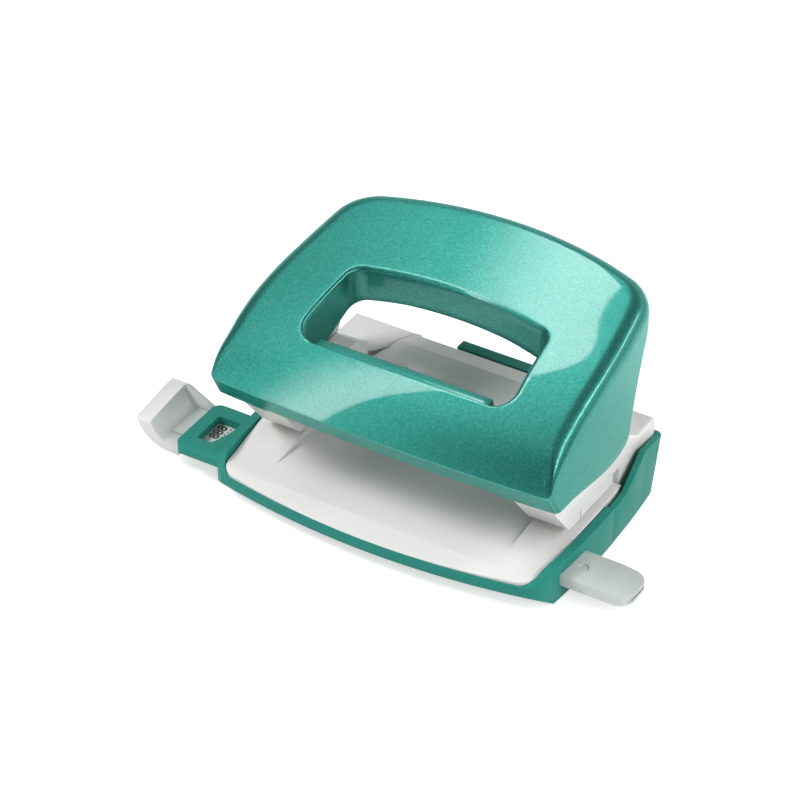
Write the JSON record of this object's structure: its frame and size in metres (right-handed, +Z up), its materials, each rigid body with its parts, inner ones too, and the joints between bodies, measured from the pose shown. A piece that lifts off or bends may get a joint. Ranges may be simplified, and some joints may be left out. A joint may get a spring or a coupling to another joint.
{
  "type": "two-hole desk punch",
  "caption": "Small desk hole punch with a broad pressed lever handle, sprung pins, paper guide, chip drawer and handle lock.",
  "frame": {"origin": "on the desk, under the middle of the base, between its widest points", "axes": "+X along the paper's edge and the guide bar, +Y to the back, +Z up"},
  "size_m": [0.1439, 0.0791, 0.0619],
  "materials": {
    "handle_paint": "fine metallic teal paint on pressed steel, satin to semi-gloss",
    "base_plastic": "teal moulded plastic, semi-gloss with a fine grain",
    "white_plastic": "white moulded plastic, semi-gloss",
    "grey_plastic": "light grey moulded plastic",
    "strip_film": "printed plastic film",
    "plated_steel": "zinc-plated sheet steel",
    "tool_steel": "hardened and ground steel",
    "spring_steel": "bright spring wire and leaf",
    "cap_plastic": "natural acetal",
    "foot_rubber": "soft black rubber"
  },
  "bodies": {
    "base": {"base_shell": "base_plastic", "paper_table": "white_plastic", "punch_head": "white_plastic", "punch_frame_left": "plated_steel", "punch_frame_right": "plated_steel", "die_left": "tool_steel", "die_right": "tool_steel", "pin_guide_left": "tool_steel", "pin_guide_right": "tool_steel", "pivot_pin_left": "plated_steel", "pivot_pin_right": "plated_steel", "return_spring_left": "spring_steel", "return_spring_right": "spring_steel", "detent_spring": "spring_steel", "front_feet": "foot_rubber", "unit_screws": "plated_steel", "head_screws": "plated_steel"},
    "handle": {"handle_shell": "handle_paint", "lever_left": "plated_steel", "lever_right": "plated_steel", "press_pad_left": "cap_plastic", "press_pad_right": "cap_plastic"},
    "pin_left": {"punch_pin_left": "tool_steel", "pin_cap_left": "cap_plastic"},
    "pin_right": {"punch_pin_right": "tool_steel", "pin_cap_right": "cap_plastic"},
    "guide": {"guide_bar": "grey_plastic", "format_strip": "strip_film", "edge_stop": "white_plastic"},
    "drawer": {"chip_drawer": "base_plastic", "grip_mat": "foot_rubber"},
    "lock": {"lock_slider": "white_plastic"}
  },
  "joints": [
    {"name": "handle_hinge", "type": "hinge", "parent": "base", "child": "handle", "pos_m": [0, 0.016, 0.031], "axis": [1, 0, 0], "range_deg": [0, 22], "stiffness_Nm_per_rad": 0.15, "springref_deg": -34.38},
    {"name": "pin_left_slide", "type": "slide", "parent": "base", "child": "pin_left", "axis": [0, 0, -1], "range_m": [0, 0.0056], "deforming": ["return_spring_left"]},
    {"name": "pin_right_slide", "type": "slide", "parent": "base", "child": "pin_right", "axis": [0, 0, -1], "range_m": [0, 0.0056], "deforming": ["return_spring_right"]},
    {"name": "guide_slide", "type": "slide", "parent": "base", "child": "guide", "axis": [-1, 0, 0], "range_m": [0, 0.08], "deforming": ["detent_spring"]},
    {"name": "drawer_slide", "type": "slide", "parent": "base", "child": "drawer", "axis": [0, 1, 0], "range_m": [0, 0.03]},
    {"name": "lock_slide", "type": "slide", "parent": "base", "child": "lock", "axis": [-1, 0, 0], "range_m": [0, 0.004]}
  ],
  "couplings": [
    {"joint": "pin_left_slide", "follows": "handle_hinge", "m_per_rad": 0.0143},
    {"joint": "pin_right_slide", "follows": "handle_hinge", "m_per_rad": 0.0143}
  ]
}
